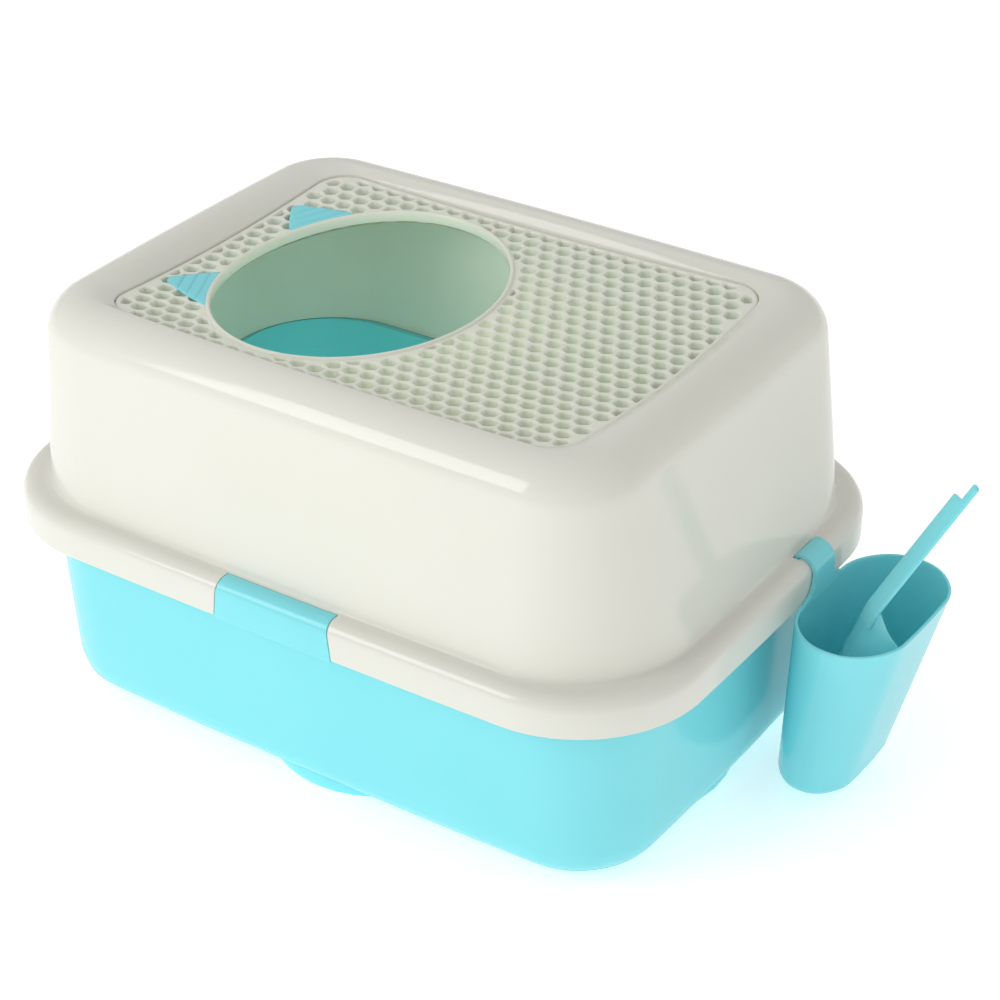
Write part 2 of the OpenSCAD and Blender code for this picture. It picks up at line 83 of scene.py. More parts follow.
def moulded(name, code, deep, rough, through, share):
    """Moulded polypropylene: its colour drifts to a deeper one along the flow of the melt, in patches
    of 120 mm. Sink marks 46 mm apart bend what it mirrors. The grain of the polished tool is finer than
    0.1 mm and is drawn 0.7 mm wide, so that it shows. The wall is milky: a share of the light goes
    through it and comes out in the colour named through."""
    material = bpy.data.materials.new(name)
    material.use_nodes = True
    tree = material.node_tree
    tree.nodes.clear()
    place = add(tree, "TexCoord").outputs["Object"]
    mm = add(tree, "VectorMath", {0: place, "Scale": 1000.0}, operation="SCALE").outputs[0]
    flow = add(tree, "TexNoise", {"Vector": mm, "Scale": 1 / 120, "Detail": 2.0, "Roughness": 0.4})
    colour = add(tree, "Mix", {0: flow.outputs["Fac"], 6: linear(code), 7: linear(deep)},
                 data_type="RGBA")
    grain = add(tree, "TexNoise", {"Vector": mm, "Scale": 1 / 0.7, "Detail": 3.0})
    gloss = add(tree, "MapRange", {0: grain.outputs["Fac"], 3: rough - 0.03, 4: rough + 0.05})
    sink = add(tree, "TexNoise", {"Vector": mm, "Scale": 1 / 46, "Detail": 1.0})
    wave = add(tree, "Bump", {"Height": sink.outputs["Fac"], "Distance": 0.09 * MM, "Strength": 1.0})
    bump = add(tree, "Bump", {"Height": grain.outputs["Fac"], "Distance": 0.002 * MM, "Strength": 1.0,
                              "Normal": wave.outputs[0]})
    surface = add(tree, "BsdfPrincipled", {
        "Base Color": colour.outputs[2], "Roughness": gloss.outputs[0], "IOR": 1.49,
        "Normal": bump.outputs[0]})
    milk = add(tree, "BsdfTranslucent", {"Color": linear(through)})
    wall = add(tree, "MixShader", {0: share, 1: surface.outputs[0], 2: milk.outputs[0]})
    output = add(tree, "OutputMaterial", {"Surface": wall.outputs[0]})
    output.is_active_output = True
    return material


def around(arc, third, left, right):
    """Weights of the columns of a rounded rectangle, counter-clockwise from the middle of +X on.
    x is weight 0 times the straight half plus 1 times the radius plus 2 times the seam; y is weight 3
    times the straight half plus 4 times the radius plus 5. The long sides have columns at the seam on
    both sides of their middle, the short sides have them at the two places named left and right."""
    g = np.linspace(0, 1, third + 1)
    a = np.linspace(0, np.pi / 2, arc + 1)
    none = np.zeros(third)
    parts = []
    for k, (sx, sy) in enumerate([(1, 1), (-1, 1), (-1, -1), (1, -1)]):
        turned = a + k * np.pi / 2
        parts.append([sx + 0 * a, np.cos(turned), 0 * a, sy + 0 * a, np.sin(turned), 0 * a])
        straight = np.concatenate([1 - g[1:], none, -g[1:-1]])
        if k % 2 == 0:
            seam = np.concatenate([g[1:], 1 - 2 * g[1:], g[1:-1] - 1])
            parts.append([straight * sx, 0 * seam, seam * sx, sy + 0 * seam, sy + 0 * seam, 0 * seam])
        else:
            start, stop = (left[1], left[0]) if sx < 0 else right
            place = np.concatenate([
                start * g[1:], start + (stop - start) * g[1:], stop * (1 - g[1:-1])])
            parts.append([sx + 0 * place, sx + 0 * place, 0 * place, straight * sy, 0 * place, place])
    return np.hstack([np.array(p) for p in parts])


def plan(weights, l, w, r, seam=46.0, bow=3.0):
    """x and y of rounded rectangles, one or a stack: straight parts and corner arcs by their weights,
    then each side bowed out by a parabola that is highest at its middle."""
    x = weights[0] * (l / 2 - r) + weights[1] * r + weights[2] * seam
    y = weights[3] * (w / 2 - r) + weights[4] * r + weights[5]
    return x * (1 - 2 * bow / l * (2 * y / w) ** 2), y * (1 - 2 * bow / w * (2 * x / l) ** 2)


def stack(rows, seam=46.0):
    """Points (row, column, 3) of rows (inset along X, inset along Y, corner radius, height)."""
    ix, iy, r, z = np.array(rows, float).T[..., None]
    x, y = plan(BOX, LENGTH - 2 * ix, WIDTH - 2 * iy, r, seam)
    return np.stack(np.broadcast_arrays(x, y, z), axis=-1)


def grid(points, looped=False, closed=True, keep=None):
    """Points (row, column, 3) and their quads: looped joins the last row to the first, closed the
    last column to the first, and keep says which quads stay."""
    rows, columns = points.shape[:2]
    j, i = np.meshgrid(np.arange(rows if looped else rows - 1),
                       np.arange(columns if closed else columns - 1), indexing="ij")
    up, on = (j + 1) % rows, (i + 1) % columns
    quads = np.stack([j * columns + i, j * columns + on, up * columns + on, up * columns + i], axis=-1)
    return points.reshape(-1, 3), (quads.reshape(-1, 4) if keep is None else quads[keep]).tolist()


def strips(pairs):
    """Quads between pairs of equally long runs of point numbers."""
    return [[a[k], a[k + 1], b[k + 1], b[k]] for a, b in pairs for k in range(len(a) - 1)]


def prism(profile, at, x0, x1):
    """A closed outline of (y, z), extruded from x0 to x1, with its middle moved to at."""
    n = len(profile)
    outline = np.array(profile, float) + at
    ends = [np.column_stack([np.full(n, x), outline]) for x in (x0, x1)]
    sides = [[k, (k + 1) % n, n + (k + 1) % n, n + k] for k in range(n)]
    return np.vstack(ends), sides + [list(range(n))[::-1], list(range(n, 2 * n))]


def round_edges(piece, width, sharp=38.0, harden=True):
    """Rounds the edges of a piece that are sharper than an angle, over a width in mm."""
    edge = piece.modifiers.new("edge_round", "BEVEL")
    edge.width, edge.segments, edge.harden_normals = width * MM, 2, harden
    edge.limit_method, edge.angle_limit = "ANGLE", np.radians(sharp)


def make(name, shapes, body, node, material, turn_out=True, sharp=38.0, bevel=0.0):
    """One finished piece out of shapes (points in mm, faces): welded, its normals turned out, smooth
    with sharp edges above an angle, bevelled in mm, riding on its body in place of its node."""
    points, faces, start = [], [], 0
    for shape_points, shape_faces in shapes:
        points.append(shape_points)
        faces += [[v + start for v in face] for face in shape_faces]
        start += len(shape_points)
    mesh = bpy.data.meshes.new(name)
    mesh.from_pydata((np.vstack(points) * MM).tolist(), [], faces)
    bm = bmesh.new()
    bm.from_mesh(mesh)
    bmesh.ops.remove_doubles(bm, verts=bm.verts, dist=0.004 * MM)
    bmesh.ops.dissolve_degenerate(bm, edges=bm.edges, dist=0.002 * MM)
    if turn_out:
        bmesh.ops.recalc_face_normals(bm, faces=bm.faces)
    bm.to_mesh(mesh)
    bm.free()
    mesh.shade_smooth()
    mesh.set_sharp_from_angle(angle=np.radians(sharp))
    mesh.materials.append(material)
    piece = bpy.data.objects.new(name, mesh)
    bpy.context.scene.collection.objects.link(piece)
    if bevel:
        round_edges(piece, bevel, sharp)
    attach(piece, body)
    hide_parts(*node)
    return piece


def pan(q, wall):
    """The pan's skin, its wall thickness inside the outer one: q runs from 0 at the middle of the floor
    by 1 at the foot of the fillet to 2 at its top; the fillet is a quarter turn in section."""
    a = np.clip(q - 1, 0, 1) * np.pi / 2
    z = FLOOR_Z + wall + (FILLET - wall) * (1 - np.cos(a))
    inset = LEAN * (SKIRT_Z - z) / (SKIRT_Z - FLOOR_Z) + wall + (FILLET - wall) * (1 - np.sin(a))
    x, y = plan(BOX, LENGTH - 40 - 2 * inset, WIDTH - 44 - 2 * inset, 68 - inset)
    share = np.minimum(q, 1)
    return np.stack([x * share, y * share, z + 0 * x], axis=-1)


LOBE_X, LOBE_Y, LOBE_R = 145.5, 67.5, 84.0  # the middles of the plinth's discs, and their radius


def lobes(x, y):
    """Distance from the middle to the far side of four discs, in the direction of x and y: the mean of
    a high power blends them, and a running mean over the columns rounds the corners between them."""
    ux, uy = x / np.hypot(x, y), y / np.hypot(x, y)
    total = 0
    for cx, cy in ((LOBE_X, 0), (-LOBE_X, 0), (0, LOBE_Y), (0, -LOBE_Y)):
        half = np.sqrt(np.maximum(LOBE_R ** 2 - (cx * uy - cy * ux) ** 2, 0))
        total = total + (np.where(half > 0, cx * ux + cy * uy + half, 1) / 200) ** 24
    reach = 200 * total ** (1 / 24)
    return sum(np.roll(reach, k) for k in (-2, -1, 0, 1, 2)) / 5


def plinth_meets(reach, wall):
    """q where the pan's skin is as far from the middle as the plinth's outline, for each column."""
    q = np.linspace(0.3, 2, 600)[:, None]
    far = np.hypot(*pan(q, wall)[..., :2].transpose(2, 0, 1))
    return q[np.argmax(far > reach, axis=0), 0]


BOX = around(16, 9, (-46.0, 46.0), (43.2, 70.8))
SLOT, CUT = 154, 9  # the first column of the tongue's slot, and how many quads wide a cut-out is
foot = pan(np.ones(1)[:, None], 0)[0]
reach = lobes(foot[:, 0], foot[:, 1])
meet, meet_inside = plinth_meets(reach, 0), plinth_meets(reach - WALL, WALL)
share = np.array([0, 0.06, 0.18, 0.4, 0.6, 0.8, 1])[:, None]
toward = pan(meet[None], 0)[0, :, :2] / np.hypot(*pan(meet[None], 0)[0, :, :2].T)[:, None]


def plinth_rows(rows, outline):
    """Rows of the plinth, each a share of its outline, a distance inside that, and a height."""
    far = np.array([part * outline - inset for part, inset, z in rows])[..., None]
    heights = np.array([z for part, inset, z in rows])[:, None, None]
    return np.concatenate([far * toward, heights + 0 * far], axis=-1)


def tub_wall(z, inset):
    """One row of the tub's wall at a height: it leans out evenly from the floor to the skirt."""
    lean = LEAN * (SKIRT_Z - z) / (SKIRT_Z - FLOOR_Z) + inset
    return (20 + lean, 22 + lean, 68 - lean, z)


outer = [tub_wall(z, 0) for z in (50, 80, 110, 140, 156, 161.2)]
fillet = [tub_wall(164.2 - 3 * (1 - np.sin(a)), -3 * (1 - np.cos(a)))
          for a in np.radians([30, 60, 90])]
lip = [(i, i, CORNER - i, z) for i, z in (
    (14, 164.2), (10, 164.2), (6.6, 160.8), (6.6, 153.7), (4.1, 153.7), (4.1, 161.8), (9, 166.7),
    (9.6, 166.7), (14, 166.7))]
inner = [tub_wall(z, WALL) for z in (166.7, 160, 150, 120, 90, 60)]
middle = plinth_rows([(0, 0, 0), (0.6, 0, 0), (1, 1.4, 0), (1, 0.3, 0.5), (1, 0, 1.6)], reach)
well = plinth_rows([(1, 0, 4.2), (1, 0.4, 3.1), (1, 1.6, 2.5), (0.6, 0, 2.5), (0, 0, 2.5)],
                   reach - WALL)
skin = np.concatenate([
    middle, pan(meet + (2 - meet) * share, 0), stack(outer + fillet + lip + inner),
    pan(2 - (2 - meet_inside) * share, WALL), well])

# The tongue of the bucket's strap goes down through a slot in the rim, cut in both its faces
low = len(middle) + len(share) + len(outer) + len(fillet)
high = low + len(lip) - 2
keep = np.ones((len(skin) - 1, BOX.shape[1]), bool)
keep[[low, high], SLOT:SLOT + CUT] = False
skin_points, skin_faces = grid(skin, keep=keep)
number = np.arange(len(skin_points)).reshape(skin.shape[:2])
slot_columns = slice(SLOT, SLOT + CUT + 1)
slot_walls = strips(
    [(number[low, slot_columns], number[high + 1, slot_columns]),
     (number[low + 1, slot_columns], number[high, slot_columns])]
    + [(number[[low, low + 1], e], number[[high + 1, high], e]) for e in (SLOT, SLOT + CUT)])

# Four lugs with round bosses stand under the rim and hold the clips' pins
boss = [(4.4 * np.cos(a), 4.4 * np.sin(a)) for a in np.linspace(np.pi / 2, 3 * np.pi / 2, 15)]
HINGE = (-180.5, 146.0)  # y and z of the front pin
lugs = []
for way in (1, -1):
    for x in (-26, 26):
        points, faces = prism(boss + [(14.6, -4.4), (14.6, 4.4)], HINGE, x - 3, x + 3)
        lugs.append((points * (way, way, 1), faces))

# Aqua polypropylene from a polished tool: a clear gloss, with some light let in at its edges
aqua = moulded("aqua_polypropylene", "#9AF5FD", "#8EEFF8", 0.13, "#04E2E6", 0.22)
make("tub_pan", [(skin_points, skin_faces + slot_walls)] + lugs, "tub", ["tub"], aqua,
     bevel=0.45)

# --- Hood ------------------------------------------------------------------------------------
# The hood is a second moulding, off-white and glossy. Its skirt drops over the tub's rim, its walls
# rise to a soft crest, and a ledge inside the opening on top carries the honeycomb panel.


CREST, SHELF, WALL_TOP = 312.0, 169.5, 284.0  # heights of the top, the skirt's shelf and the walls


def dish(x, y):
    """Height of the honeycomb's face: lowest in the middle, it rises by the square of the distance
    along each axis, and by the product of both squares towards the corners."""
    return 298.8 + 1.2 * (x / 181) ** 2 + 3.4 * (y / 131) ** 2 + 4.2 * (x / 181) ** 2 * (y / 131) ** 2


def skirt(radius, inset):
    """Rows of the skirt: straight up from its lower edge, a quarter turn, and a level shelf."""
    turn = np.radians([18, 36, 54, 72, 90])
    rows = [(inset, z) for z in (SKIRT_Z, 152, 160.5)]
    rows += [(inset + radius * (1 - np.cos(a)), 160.5 + radius * np.sin(a)) for a in turn]
    return [(i, i, CORNER - i, z) for i, z in rows + [(9.6, 160.5 + radius), (14, 160.5 + radius)]]


def hood_wall(t, inset):
    """One row of the hood's wall at a share of the way up: its insets, radius and height all change
    in proportion to that share."""
    return (16 + 20 * t + inset, 16 + 6 * t + inset, 80 - 25 * t - inset,
            SHELF + (WALL_TOP - SHELF) * t)


def top_round(radius, inset):
    """Rows of the round between the wall and the top, a quarter turn in section."""
    return [(36 + inset + radius * (1 - np.cos(a)), 22 + inset + radius * (1 - np.cos(a)),
             55 - inset - radius * (1 - np.cos(a)), WALL_TOP + radius * np.sin(a))
            for a in np.radians(np.arange(10, 91, 10))]


skirt_out, skirt_in = skirt(9.0, 0.0), skirt(9.0 - WALL, WALL)
shelf = len(skirt_out) - 1
foot_round = [(15.2, 15.2, 79.5, 170.1), (15.8, 15.8, 79.8, 171.0)]
wall_out = [hood_wall(t, 0) for t in (0.03, 0.1, 0.3, 0.5, 0.7, 0.9, 1)]
border = [(64 + 18.5 * u, 50 + 6.5 * u, 27 - 2.2 * u, CREST - u ** 1.6)
          for u in (0.12, 0.3, 0.5, 0.7, 0.88, 1)]
ledge = [(82.5, 56.5, 24.8, 295.7), (88.5, 62.5, 18.8, 295.7), (88.5, 62.5, 18.8, 292.7),
         (80, 54, 27.3, 292.7)]
border_in = [(80, 54, 27.3, CREST - WALL), (72, 52, 25, CREST - WALL)]
wall_in = [hood_wall(t, WALL) for t in (1, 0.9, 0.7, 0.5, 0.3, 0.1)]
outside = skirt_out + foot_round + wall_out + top_round(28, 0)
rows = (outside + border + ledge + border_in
        + top_round(28 - WALL, WALL)[::-1] + wall_in + [(18.5, 18.5, 77.5, 167.0)] + skirt_in[::-1])
heights = np.array([row[3] for row in rows])

# The notches for the clips widen downwards. On the long sides the bow takes x to 0.98868 of itself.
seam = (44.6 + 3.0 * np.clip((SHELF - heights) / (SHELF - SKIRT_Z), 0, 1)) / 0.98868
shell = stack(rows, seam[:, None])

# The border falls from the level crest to the edge of the dished panel
edge = dish(shell[..., 0], shell[..., 1]) + 1
falling = slice(len(outside), len(outside) + len(border))
shell[falling, :, 2] = CREST + (edge[falling] - CREST) * (CREST - heights[falling, None])
back = falling.stop + len(ledge)
shell[back, :, 2] = edge[back] - WALL
shell[back + 1, :, 2] = (edge[back + 1] - WALL + CREST - WALL) / 2

# Cut out: a notch for the clip on each long side, through the skirt, and a slot in the shelf at +X
NOTCHES = (25, 111)  # the first column of each notch
keep = np.ones(shell.shape[:2], bool)
last = len(rows) - 1
for c in NOTCHES:
    keep[:shelf, c:c + CUT] = keep[last - shelf:, c:c + CUT] = False
keep[[shelf - 1, last - shelf], SLOT:SLOT + CUT] = False
shell_points, shell_faces = grid(shell, looped=True, keep=keep)
number = np.arange(len(shell_points)).reshape(shell.shape[:2])
up_out, up_in = np.arange(shelf + 1), last - np.arange(shelf + 1)
pairs = []
for c in NOTCHES:
    pairs += [(number[up_out, e], number[up_in, e]) for e in (c, c + CUT)]
    pairs.append((number[shelf, c:c + CUT + 1], number[last - shelf, c:c + CUT + 1]))
pairs += [(number[k, slot_columns], number[last - k, slot_columns]) for k in (shelf - 1, shelf)]
pairs += [(number[[shelf - 1, shelf], e], number[[last - shelf + 1, last - shelf], e])
          for e in (SLOT, SLOT + CUT)]

# Off-white polypropylene, polished tool: milky enough for its walls to glow where light falls through
off_white = moulded("off_white_polypropylene", "#F1EFE9", "#ECEAE2", 0.09, "#E6ECB4", 0.17)
make("hood_shell", [(shell_points, shell_faces + strips(pairs))], "hood", ["hood"], off_white,
     bevel=0.5)

# --- Top panel -------------------------------------------------------------------------------
# The panel is a creamy moulding dropped into the hood: a dished honeycomb 9 mm deep that lets litter
# fall back from the cat's paws, with a plain border and a smooth raised rim round the oval hole.

PANEL_L, PANEL_W, PANEL_R, BORDER = 364.2, 264.2, 24.0, 2.2
PANEL_T, SEAT_Z = 9.0, 296.0  # the comb's depth, and the height of the ledge's face under the panel
HOLE_X, RIM_A, RIM_B = -61.5, 95.3, 117.2  # the hole's middle, and its rim's half axes in x and y
PITCH = 13.2


def underside(x, y):
    """Height of the panel's back: its depth under the dished face, but level over the ledge."""
    return np.minimum(SEAT_Z, dish(x, y) - PANEL_T)


def clipped(corners, cuts):
    """A convex polygon cut by half planes (normal x, normal y, distance)."""
    for nx, ny, d in cuts:
        side = corners @ np.array([nx, ny]) - d
        if side.max() <= 0:
            continue
        after, side_after = np.roll(corners, -1, axis=0), np.roll(side, -1)
        out = []
        for p, q, s, t in zip(corners, after, side, side_after):
            if s <= 0:
                out.append(p)
            if s * t < 0:
                out.append(p + (q - p) * s / (s - t))
        corners = np.array(out)
        if len(corners) < 3:
            return corners
    return corners


def twelve(corners):
    """Twelve points of a polygon's outline: its corners, with its longest edges halved."""
    points = [p for p, q in zip(corners, np.roll(corners, -1, axis=0)) if np.hypot(*(q - p)) > 0.05]
    while len(points) < 12:
        edges = [np.hypot(*(q - p)) for p, q in zip(points, points[1:] + points[:1])]
        longest = int(np.argmax(edges))
        points.insert(longest + 1, (points[longest] + points[(longest + 1) % len(points)]) / 2)
    return np.array(points)


def outward(outline):
    """Outward unit normals of the edges of a counter-clockwise outline: each edge turned clockwise."""
    edge = np.roll(outline, -1, axis=0) - outline
    return np.column_stack([edge[:, 1], -edge[:, 0]]) / np.hypot(*edge.T)[:, None]


def inside(outline, middle, inset):
    """Twelve points of a rounded outline inset from a polygon, in the directions of its own twelve:
    the distance is the power mean of the distances to its edges, so its corners are round."""
    normal = outward(outline)
    reach = np.sum(normal * (outline - middle), axis=1) - inset
    index = np.unique(np.round(np.column_stack([normal, reach]), 3), axis=0, return_index=True)[1]
    ray = (outline - middle) / np.hypot(*(outline - middle).T)[:, None]
    facing = np.maximum(ray @ normal[index].T, 0) / np.maximum(reach[index], 0.05)
    return middle + ray * (np.sum(facing ** 18, axis=1) ** (-1 / 18))[:, None]


panel_columns = around(5, 5, (-46.0, 46.0), (-46.0, 46.0))
px, py = plan(panel_columns, PANEL_L - 2 * BORDER, PANEL_W - 2 * BORDER, PANEL_R - BORDER)
line = np.column_stack([px, py])
line_normal = outward(line)
line_reach = np.sum(line_normal * line, axis=1)
corner_angles = np.radians(30 + 60 * np.arange(6))
hexagon = PITCH / np.sqrt(3) * np.column_stack([np.cos(corner_angles), np.sin(corner_angles)])
# A cell's corners are 7.62 mm from its middle. An edge of the field that is nearer than WHOLE cuts the
# cell, and a cell whose middle lies past an edge by more than MISSED is outside the field.
MISSED, WHOLE = 7.6, 7.7
# What is left of a cell has no place under the area SLIVER, in mm2, and no hole where its middle is
# nearer to an edge than CLOSED
SLIVER, CLOSED = 1.5, 2.7
# Rings of a cell, inset and drop in mm, over the rounded top of its web and down; None is the back
RINGS = [(0.0, 0.0), (0.8, -0.06), (1.35, -0.45), (1.65, -1.6), (1.95, None), (0.0, None)]
comb_points, comb_faces, start = [], [], 0
for j in range(-12, 13):
    for i in range(-15, 16):
        cx, cy = (i + 0.5 * (j % 2)) * PITCH, j * PITCH * np.sqrt(3) / 2
        gap = line_reach - line_normal @ np.array([cx, cy])
        if gap.min() < -MISSED:
            continue
        cuts = [(*line_normal[k], line_reach[k]) for k in np.flatnonzero(gap < WHOLE)]
        angle = np.arctan2(cy / RIM_B, (cx - HOLE_X) / RIM_A)
        normal = np.array([np.cos(angle) / RIM_A, np.sin(angle) / RIM_B])
        normal /= np.hypot(*normal)
        rim = np.array([HOLE_X + RIM_A * np.cos(angle), RIM_B * np.sin(angle)])
        clear = (np.array([cx, cy]) - rim) @ normal
        if clear < -MISSED:
            continue
        if clear < WHOLE:
            cuts.append((*-normal, -(rim @ normal)))
        corners = clipped(hexagon + (cx, cy), cuts)
        if len(corners) < 3:
            continue
        outline = twelve(corners)
        middle = outline.mean(axis=0)
        after = np.roll(outline, -1, axis=0)
        area = 0.5 * np.sum(outline[:, 0] * after[:, 1] - outline[:, 1] * after[:, 0])
        if area < SLIVER:
            continue
        if np.sum(outward(outline) * (outline - middle), axis=1).min() < CLOSED:
            for height, order in ((dish, 1), (underside, -1)):
                comb_points.append(np.column_stack([outline, height(*outline.T)]))
                comb_faces.append(list(range(start, start + 12))[::order])
                start += 12
            continue
        rings = []
        for inset, drop in RINGS:
            ring = outline if inset == 0 else inside(outline, middle, inset)
            z = underside(*ring.T) if drop is None else dish(*ring.T) + drop
            rings.append(np.column_stack([ring, z]))
        points, faces = grid(np.array(rings))
        comb_points.append(points)
        comb_faces += [[v + start for v in face] for face in faces]
        start += len(points)
comb = (np.vstack(comb_points), comb_faces)

# The plain border, and the rim round the hole: rows of inset and drop from the dished face, in mm
border_rows = []
for inset, drop in ((0.0, -1.2), (0.35, -0.35), (1.2, 0.0), (BORDER + 0.2, 0.0), (BORDER + 0.4, -0.8),
                    (BORDER + 0.4, None), (0.0, None)):
    x, y = plan(BOX, PANEL_L - 2 * inset, PANEL_W - 2 * inset, PANEL_R - inset)
    border_rows.append(np.column_stack([x, y, SEAT_Z + 0 * x if drop is None else dish(x, y) + drop]))
turn = np.linspace(0, 2 * np.pi, 145)[:-1]
rim_rows = []
for inset, drop in ((0.0, -6.0), (-0.35, -0.9), (0.0, 0.5), (0.5, 1.3), (1.2, 1.6), (1.9, 1.6),
                    (2.6, 1.2), (3.0, 0.4), (3.1, -1.5), (3.1, -5.2), (2.6, -6.0), (1.4, -6.0)):
    x = HOLE_X + (RIM_A - inset) * np.cos(turn)
    y = (RIM_B - inset) * np.sin(turn)
    rim_rows.append(np.column_stack([x, y, dish(x, y) + drop]))

# The same polypropylene, creamier: light that comes through the webs turns the cells a little green
cream = moulded("cream_polypropylene", "#F6F6EC", "#F0F1E4", 0.16, "#E2E6C4", 0.16)
make("honeycomb_panel", [comb], "panel", ["top_panel"], cream, turn_out=False,
     sharp=55)
rings = [grid(np.array(rows), looped=True) for rows in (border_rows, rim_rows)]
make("panel_border_and_rim", rings, "panel", ["top_panel"], cream, sharp=50)

# --- Ears ------------------------------------------------------------------------------------
# Two aqua inlays of the tub's polypropylene are pressed on to the honeycomb at the hole's -X side:
# rounded triangles with three grooves across them, like the ears of a cat.


def ear(side):
    """An ear as rows from its foot to its tip, each a closed loop over its top and back under it. Its
    half width shrinks by a power of the way along it, then by a circle round its tip. Bell curves dip
    its height at the grooves, and its foot is pushed out to the hole's rim."""
    depth, base, nose = 35.0, 27.0, 8.0
    along = np.linspace(0, 1, 61) * depth
    half = base * (1 - (along / (depth + 3)) ** 1.25)
    half = np.where(along < depth - nose, half, np.minimum(
        half, np.sqrt(np.maximum(nose ** 2 - np.maximum(along - depth + nose, 0) ** 2, 0))))
    groove = sum(np.exp(-((along - g) / 0.6) ** 2) for g in (8.5, 16.5, 24.5))
    rise = (1.25 * (1 - np.maximum(0, 1 - along / 0.9) ** 2)
            * np.sqrt(np.clip((depth - along) / 1.2, 0, 1)))
    t = np.concatenate([np.linspace(-1, 1, 15), np.linspace(1, -1, 15)[1:-1]])
    t = np.sign(t) * (1 - (1 - np.abs(t)) ** 1.4)
    lid = np.arange(28) < 15
    crown = np.sqrt(np.clip(1 - np.abs(t[None]) ** 12, 0, 1))
    x = along[:, None] + 0 * t
    y = half[:, None] * t - side * -5.9 / 30.5 * x
    z = np.where(lid, rise[:, None] * crown - 0.75 * groove[:, None] * crown, -0.35 * crown)
    angle = np.radians(180 - side * 25.6)
    gx = -138.0 + x * np.cos(angle) - y * np.sin(angle)
    gy = side * 61.0 + x * np.sin(angle) + y * np.cos(angle)
    far = np.hypot((gx - HOLE_X) / RIM_A, gy / RIM_B)
    push = np.maximum(far, 0.992) / far
    gx, gy = HOLE_X + (gx - HOLE_X) * push, gy * push
    return np.stack([gx, gy, dish(gx, gy) + z], axis=-1)


for name, side in (("ear_front", -1), ("ear_back", 1)):
    make(name, [grid(ear(side))], "panel", [name], aqua, sharp=50)

# --- Side clips ------------------------------------------------------------------------------
# A wide aqua clip fills the notch in the skirt on each long side and turns on a steel pin under the
# tub's rim. It is a 2 mm shell with the skirt's own section, carried by two arms with round bosses.


def clip_section(inset):
    """y and z of the clip's section: the skirt's face, its round and the shelf behind it."""
    a = np.radians(np.linspace(0, 90, 9))
    low = [(inset, 141 + 0.4 * inset), (inset, 147), (inset, 154), (inset, 160.5)]
    bend = [(inset + (9 - inset) * (1 - np.cos(k)), 160.5 + (9 - inset) * np.sin(k)) for k in a[1:]]
    return np.array(low + bend + [(11.5, 169.5 - inset), (13.4, 169.5 - inset)])


def clip_shell():
    """The clip's shell: its section carried along X, as wide as the notch less the gap at each height,
    and bowed as the skirt is."""
    section = np.vstack([clip_section(0), clip_section(2)[::-1]])
    half = 44 + 3 * np.clip((SHELF - section[:, 1]) / (SHELF - SKIRT_Z), 0, 1.1)
    share = np.concatenate([[-1, -0.985], np.linspace(-0.94, 0.94, 17), [0.985, 1]])
    x = share[:, None] * half
    y = -(WIDTH / 2 - section[:, 0]) * (1 - 6 / WIDTH * (2 * x / LENGTH) ** 2)
    points, faces = grid(np.stack([x, y, section[:, 1] + 0 * x], axis=-1))
    n = len(section)
    for start in (0, (len(share) - 1) * n):
        loop = list(range(start, start + n))
        faces += strips([(loop[:n // 2], loop[::-1][:n // 2])])
    return points, faces


arm = [(4.4 * np.cos(a), 4.4 * np.sin(a)) for a in np.linspace(-np.pi / 2, np.pi / 2, 15)]
arms = [prism(arm + [(-7.4, 4.4), (-7.4, -4.4)], HINGE, x - 3, x + 3) for x in (-32.8, 32.8)]
for name, way in (("clip_front", 1), ("clip_back", -1)):
    turned = [(points * (way, way, 1), faces) for points, faces in [clip_shell()] + arms]
    make(name, turned, name, [name], aqua, bevel=0.35)

# --- Clip pins -------------------------------------------------------------------------------
# Each clip turns on a straight length of drawn steel wire 4 mm thick, cut to the width of the clip's
# arms and pressed into two lugs under the tub's rim. The solids have its shape already.

# Drawn unplated steel: grey, with scratches along the wire about 17 mm long and 0.4 mm apart. Real
# ones lie closer; they are drawn this coarse so that they show
wire = bpy.data.materials.new("drawn_steel_wire")
wire.use_nodes = True
tree = wire.node_tree
tree.nodes.clear()
place = add(tree, "TexCoord").outputs["Object"]
drawn = add(tree, "VectorMath", {0: place, 1: (60.0, 2500.0, 2500.0)}, operation="MULTIPLY").outputs[0]
scratch = add(tree, "TexNoise", {"Vector": drawn, "Scale": 1.0, "Detail": 2.0})
dull = add(tree, "MapRange", {0: scratch.outputs["Fac"], 3: 0.28, 4: 0.5})
steel = add(tree, "BsdfPrincipled", {
    "Base Color": linear("#A9ABAE"), "Metallic": 1.0, "Roughness": dull.outputs[0]})
add(tree, "OutputMaterial", {"Surface": steel.outputs[0]}).is_active_output = True
for name in ("clip_pin_front", "clip_pin_back"):
    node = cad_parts[name]
    node.data.materials.clear()
    node.data.materials.append(wire)

# --- Bucket ----------------------------------------------------------------------------------
# A small aqua bucket with thin walls hangs at the +X side. A strap rises from its mouth, bends over
# the skirt's round, and its tongue goes down into the slot in the hood's shelf.

PAIL = around(12, 4, (-14.0, 14.0), (-14.0, 14.0))
BUCKET_Y, THIN = 57.0, 2.2  # the bucket's middle in y, and the wall of bucket and scoop


def pail(rows):
    """Rows of the bucket: share of the way up, inset, height. Its length, width, radius and the place
    of its middle change in proportion to that share."""
    t, inset, z = np.array(rows, float).T[..., None]
    length, width = 55 + 23 * t, 102 + 32 * t
    x, y = plan(PAIL, length - 2 * inset, width - 2 * inset, 25 + 11 * t - inset, seam=1.2)
    middle = 265.3 - 9 * (1 - t) + length / 2
    return np.stack(np.broadcast_arrays(x + middle, y + BUCKET_Y, z), axis=-1)


